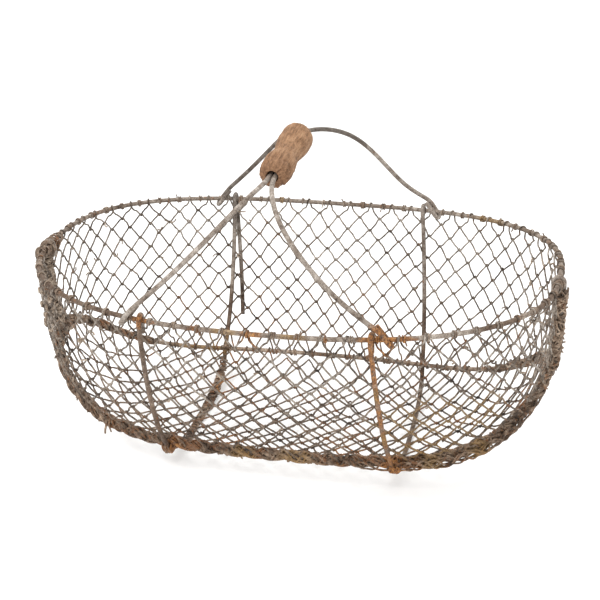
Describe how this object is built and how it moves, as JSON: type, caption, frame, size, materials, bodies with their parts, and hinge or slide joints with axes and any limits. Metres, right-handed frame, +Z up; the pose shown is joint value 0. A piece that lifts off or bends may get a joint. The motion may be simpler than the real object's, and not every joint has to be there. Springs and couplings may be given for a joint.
{
  "type": "harvest basket",
  "caption": "Oval wire-mesh picking basket with a splayed wall, a rounded bottom, heavy wire rim, base hoop and ribs, and a fixed overhead wire handle with a turning wooden grip.",
  "frame": {"origin": "on the resting plane, under the middle of the basket", "axes": "+X along the basket's long side, +Y across it from front to back, +Z up; the grip lies across the basket, near Y"},
  "size_m": [0.5164, 0.3754, 0.3097],
  "materials": {
    "heavy_wire": "weathered galvanised wire, dull grey with rust",
    "netting_wire": "thin weathered galvanised wire",
    "grip_wood": "bare, dry, worn wood"
  },
  "bodies": {
    "basket": {"rim_hoop": "heavy_wire", "base_hoop": "heavy_wire", "rib_left": "heavy_wire", "rib_right": "heavy_wire", "end_strut_left": "heavy_wire", "end_strut_right": "heavy_wire", "handle_wire_left": "heavy_wire", "handle_wire_right": "heavy_wire", "netting_front_row_01": "netting_wire", "netting_front_row_02": "netting_wire", "netting_front_row_03": "netting_wire", "netting_front_row_04": "netting_wire", "netting_front_row_05": "netting_wire", "netting_front_row_06": "netting_wire", "netting_front_row_07": "netting_wire", "netting_front_row_08": "netting_wire", "netting_front_row_09": "netting_wire", "netting_front_row_10": "netting_wire", "netting_front_row_11": "netting_wire", "netting_front_row_12": "netting_wire", "netting_front_row_13": "netting_wire", "netting_back_row_01": "netting_wire", "netting_back_row_02": "netting_wire", "netting_back_row_03": "netting_wire", "netting_back_row_04": "netting_wire", "netting_back_row_05": "netting_wire", "netting_back_row_06": "netting_wire", "netting_back_row_07": "netting_wire", "netting_back_row_08": "netting_wire", "netting_back_row_09": "netting_wire", "netting_back_row_10": "netting_wire", "netting_back_row_11": "netting_wire", "netting_back_row_12": "netting_wire", "netting_back_row_13": "netting_wire", "netting_bottom_row_01": "netting_wire", "netting_bottom_row_02": "netting_wire", "netting_bottom_row_03": "netting_wire", "netting_bottom_row_04": "netting_wire", "netting_bottom_row_05": "netting_wire", "netting_bottom_row_06": "netting_wire", "netting_bottom_row_07": "netting_wire", "netting_bottom_row_08": "netting_wire", "netting_bottom_row_09": "netting_wire", "netting_bottom_row_10": "netting_wire", "netting_bottom_row_11": "netting_wire", "netting_bottom_row_12": "netting_wire", "netting_bottom_row_13": "netting_wire", "netting_bottom_row_14": "netting_wire", "netting_bottom_row_15": "netting_wire", "netting_bottom_row_16": "netting_wire", "netting_bottom_row_17": "netting_wire", "rim_lacing": "netting_wire", "base_lacing": "netting_wire", "seam_lacing_left": "netting_wire", "seam_lacing_right": "netting_wire", "rib_hoop_ties": "netting_wire"},
    "grip": {"handle_grip": "grip_wood"}
  },
  "joints": [
    {"name": "grip_spin", "type": "hinge", "parent": "basket", "child": "grip", "pos_m": [-0.0132, -0.003, 0.2887], "axis": [0.0553, 0.9893, 0.1349], "continuous": true}
  ]
}
